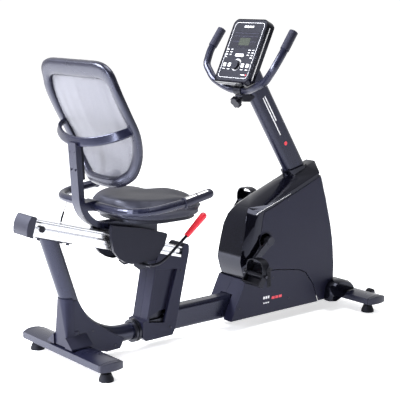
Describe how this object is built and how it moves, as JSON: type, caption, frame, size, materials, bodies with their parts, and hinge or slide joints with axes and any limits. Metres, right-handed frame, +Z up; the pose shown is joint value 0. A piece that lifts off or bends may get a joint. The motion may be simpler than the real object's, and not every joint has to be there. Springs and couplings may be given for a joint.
{
  "type": "recumbent exercise bike",
  "caption": "Recumbent exercise bike with a mesh-backed seat on a sloping rail, a drive housing with pedals, and a leaning mast with console and handlebar.",
  "frame": {"origin": "on the floor under the middle of the bike's bounding box", "axes": "+X is the way the rider faces, +Y the rider's left, +Z up"},
  "size_m": [1.7022, 0.6338, 1.2756],
  "materials": {
    "graphite_paint": "satin near-black paint with a cool cast",
    "graphite_cover": "satin moulded plastic",
    "black_plastic": "fine-grained moulded plastic",
    "gloss_cover": "polished moulded plastic",
    "cap_plastic": "moulded plastic",
    "rail_aluminium": "satin anodised",
    "bright_steel": "machined",
    "black_steel": "black coated",
    "flywheel_iron": "machined",
    "rubber": "moulded",
    "foam_grip": "ribbed foam rubber",
    "red_grip": "moulded",
    "seat_cover": "perforated grain vinyl",
    "back_mesh_cloth": "open woven mesh",
    "display": "printed overlay",
    "key_white": "moulded",
    "pulse_metal": "polished",
    "cable": "extruded sleeve"
  },
  "bodies": {
    "base": {"stabilisers": "graphite_paint", "end_caps": "cap_plastic", "rear_upright": "graphite_paint", "rail_saddle": "black_steel", "rear_boot": "black_plastic", "curve_covers": "graphite_cover", "seat_rail": "rail_aluminium", "rail_bumpers": "rubber", "column_post": "black_steel", "column_covers": "graphite_cover", "main_beam": "graphite_paint", "drive_frame": "black_steel", "crank_bearings": "bright_steel", "brake_motor": "black_plastic", "drive_belt": "rubber", "housing_right": "graphite_cover", "housing_left": "graphite_cover", "lower_covers": "graphite_cover", "top_shroud": "gloss_cover", "front_hood": "gloss_cover", "mast": "graphite_paint", "console_body": "gloss_cover", "console_face": "display", "handlebar_clamp": "black_plastic", "cover_screws": "black_steel", "power_inlet": "black_plastic"},
    "carriage": {"carriage_frame": "black_steel", "carriage_covers": "graphite_cover", "seat_base": "black_plastic", "seat_pad": "seat_cover", "seat_post": "graphite_paint", "back_frame": "black_plastic", "back_mesh": "back_mesh_cloth", "seat_handlebar": "graphite_paint", "seat_grips": "foam_grip", "pulse_plates": "pulse_metal", "pulse_lead": "cable", "lead_connector": "black_plastic"},
    "lever": {"lever_rod": "black_steel", "lever_grip": "red_grip"},
    "crank": {"crank_set": "black_steel", "drive_pulley": "black_plastic"},
    "right_pedal": {"pedal_right": "black_plastic"},
    "left_pedal": {"pedal_left": "black_plastic"},
    "flywheel_body": {"flywheel": "flywheel_iron"},
    "magnet_arm": {"magnet_bracket": "bright_steel"},
    "handlebar": {"front_handlebar": "graphite_paint", "front_grips": "foam_grip"},
    "knob": {"clamp_knob": "black_plastic"},
    "dial": {"console_dial": "black_plastic"},
    "key_1": {"button_1": "key_white"},
    "key_2": {"button_2": "key_white"},
    "key_3": {"button_3": "key_white"},
    "key_4": {"button_4": "key_white"},
    "right_wheel": {"wheel_right": "rubber"},
    "left_wheel": {"wheel_left": "rubber"},
    "rear_right_foot": {"foot_rear_right": "rubber"},
    "rear_left_foot": {"foot_rear_left": "rubber"},
    "front_right_foot": {"foot_front_right": "rubber"},
    "front_left_foot": {"foot_front_left": "rubber"}
  },
  "joints": [
    {"name": "seat_slide", "type": "slide", "parent": "base", "child": "carriage", "axis": [0.9593, 0, -0.2823], "range_m": [-0.285, 0.045]},
    {"name": "lever_lift", "type": "hinge", "parent": "carriage", "child": "lever", "pos_m": [-0.34, 0, 0.35], "axis": [0, -1, 0], "range_deg": [0, 5], "stiffness_Nm_per_rad": 12, "springref_deg": -14.32},
    {"name": "crank_spin", "type": "hinge", "parent": "base", "child": "crank", "pos_m": [0.262, 0, 0.366], "axis": [0, 1, 0], "continuous": true},
    {"name": "right_pedal_spin", "type": "hinge", "parent": "crank", "child": "right_pedal", "pos_m": [0.13064, -0.181, 0.2581], "axis": [0, 1, 0], "continuous": true},
    {"name": "left_pedal_spin", "type": "hinge", "parent": "crank", "child": "left_pedal", "pos_m": [0.39337, 0.181, 0.4739], "axis": [0, 1, 0], "continuous": true},
    {"name": "flywheel_spin", "type": "hinge", "parent": "base", "child": "flywheel_body", "pos_m": [0.5, 0, 0.27], "axis": [0, 1, 0], "continuous": true},
    {"name": "magnet_swing", "type": "hinge", "parent": "base", "child": "magnet_arm", "pos_m": [0.655, 0, 0.262], "axis": [0, 1, 0], "range_deg": [0, 6]},
    {"name": "handlebar_tilt", "type": "hinge", "parent": "base", "child": "handlebar", "pos_m": [0.19, 0, 0.99], "axis": [0, 1, 0], "range_deg": [-10, 10]},
    {"name": "knob_turn", "type": "hinge", "parent": "base", "child": "knob", "pos_m": [0.1704, 0, 0.94194], "axis": [-0.8462, 0, -0.5329], "continuous": true},
    {"name": "dial_turn", "type": "hinge", "parent": "base", "child": "dial", "pos_m": [0.1634, 0, 1.09456], "axis": [-0.9048, 0, 0.4258], "continuous": true},
    {"name": "key_1_press", "type": "slide", "parent": "base", "child": "key_1", "axis": [0.9048, 0, -0.4258], "range_m": [0, 0.0015], "stiffness_N_per_m": 400, "springref_m": -0.0005},
    {"name": "key_2_press", "type": "slide", "parent": "base", "child": "key_2", "axis": [0.9048, 0, -0.4258], "range_m": [0, 0.0015], "stiffness_N_per_m": 400, "springref_m": -0.0005},
    {"name": "key_3_press", "type": "slide", "parent": "base", "child": "key_3", "axis": [0.9048, 0, -0.4258], "range_m": [0, 0.0015], "stiffness_N_per_m": 400, "springref_m": -0.0005},
    {"name": "key_4_press", "type": "slide", "parent": "base", "child": "key_4", "axis": [0.9048, 0, -0.4258], "range_m": [0, 0.0015], "stiffness_N_per_m": 400, "springref_m": -0.0005},
    {"name": "right_wheel_roll", "type": "hinge", "parent": "base", "child": "right_wheel", "pos_m": [0.8295, -0.164, 0.058], "axis": [0, 1, 0], "continuous": true},
    {"name": "left_wheel_roll", "type": "hinge", "parent": "base", "child": "left_wheel", "pos_m": [0.8295, 0.164, 0.058], "axis": [0, 1, 0], "continuous": true},
    {"name": "rear_right_foot_turn", "type": "hinge", "parent": "base", "child": "rear_right_foot", "pos_m": [-0.65, -0.239, 0.03], "axis": [0, 0, 1], "continuous": true},
    {"name": "rear_left_foot_turn", "type": "hinge", "parent": "base", "child": "rear_left_foot", "pos_m": [-0.65, 0.239, 0.03], "axis": [0, 0, 1], "continuous": true},
    {"name": "front_right_foot_turn", "type": "hinge", "parent": "base", "child": "front_right_foot", "pos_m": [0.752, -0.222, 0.03], "axis": [0, 0, 1], "continuous": true},
    {"name": "front_left_foot_turn", "type": "hinge", "parent": "base", "child": "front_left_foot", "pos_m": [0.752, 0.222, 0.03], "axis": [0, 0, 1], "continuous": true}
  ],
  "couplings": [
    {"joint": "flywheel_spin", "follows": "crank_spin", "ratio": 6.25}
  ]
}
